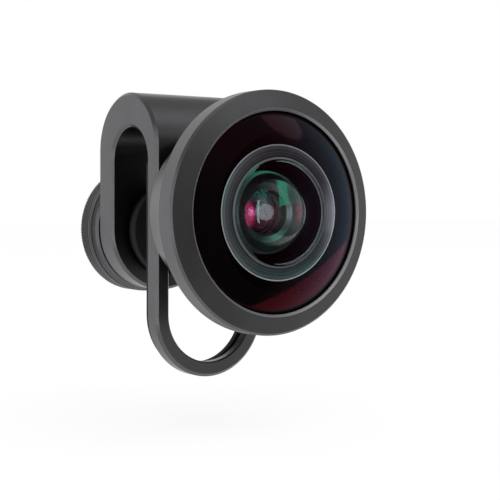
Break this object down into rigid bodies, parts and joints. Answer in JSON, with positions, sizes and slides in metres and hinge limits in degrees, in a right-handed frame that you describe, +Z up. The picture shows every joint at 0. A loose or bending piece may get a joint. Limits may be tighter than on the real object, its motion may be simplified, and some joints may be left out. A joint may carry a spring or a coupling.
{
  "type": "clip-on phone lens",
  "caption": "Wide-angle lens on a hairpin metal clip; the lens slides in a slot and screws tight, and a knob at the back clamps the clip.",
  "frame": {"origin": "the point where the lens axis meets the face of the soft pad that rests on the handset", "axes": "+Z up along the clip towards its round top; the lens points along -Y and the clamp knob lies towards +Y; +X to the right as seen from the front of the lens"},
  "size_m": [0.04, 0.0514, 0.0498],
  "materials": {
    "anodised_metal": "fine satin dark anodising",
    "inner_metal": "matt black anodising",
    "screw_steel": "dark steel thread",
    "soft_rubber": "matt soft rubber",
    "washer_plastic": "black nylon",
    "coated_glass": "polished glass with a purple and green anti-reflection coating"
  },
  "bodies": {
    "clip": {"clip_frame": "anodised_metal", "front_pad": "soft_rubber"},
    "slider": {"slot_nut": "inner_metal"},
    "washer": {"shoulder_washer": "washer_plastic"},
    "lens": {"lens_barrel": "anodised_metal", "front_ring": "anodised_metal", "front_seal": "soft_rubber", "front_element": "coated_glass", "second_retainer": "inner_metal", "second_element": "coated_glass", "spacer_one": "inner_metal", "third_element": "coated_glass", "spacer_two": "inner_metal", "fourth_element": "coated_glass", "aperture_stop": "inner_metal", "doublet_front": "coated_glass", "doublet_rear": "coated_glass", "rear_spacer": "inner_metal", "rear_element": "coated_glass", "rear_retainer": "inner_metal"},
    "foot": {"foot_pad": "soft_rubber", "foot_plate": "inner_metal"},
    "knob": {"clamp_screw": "screw_steel", "clamp_knob": "anodised_metal"}
  },
  "joints": [
    {"name": "lens_height", "type": "slide", "parent": "clip", "child": "slider", "axis": [0, 0, 1], "range_m": [-0.016, 0.0008]},
    {"name": "lens_back_off", "type": "slide", "parent": "slider", "child": "washer", "axis": [0, -1, 0], "range_m": [0, 0.00151]},
    {"name": "lens_turn", "type": "hinge", "parent": "washer", "child": "lens", "pos_m": [0, -0.012, 0], "axis": [0, -1, 0], "range_deg": [0, 720]},
    {"name": "foot_travel", "type": "slide", "parent": "clip", "child": "foot", "axis": [0, 1, 0], "range_m": [-0.00021, 0.00121]},
    {"name": "knob_turn", "type": "hinge", "parent": "foot", "child": "knob", "pos_m": [0, 0.0185, -0.0033], "axis": [0, 1, 0], "range_deg": [-90, 540]}
  ],
  "couplings": [
    {"joint": "lens_back_off", "follows": "lens_turn", "m_per_rad": 0.00011937},
    {"joint": "foot_travel", "follows": "knob_turn", "m_per_rad": 0.00012732}
  ]
}
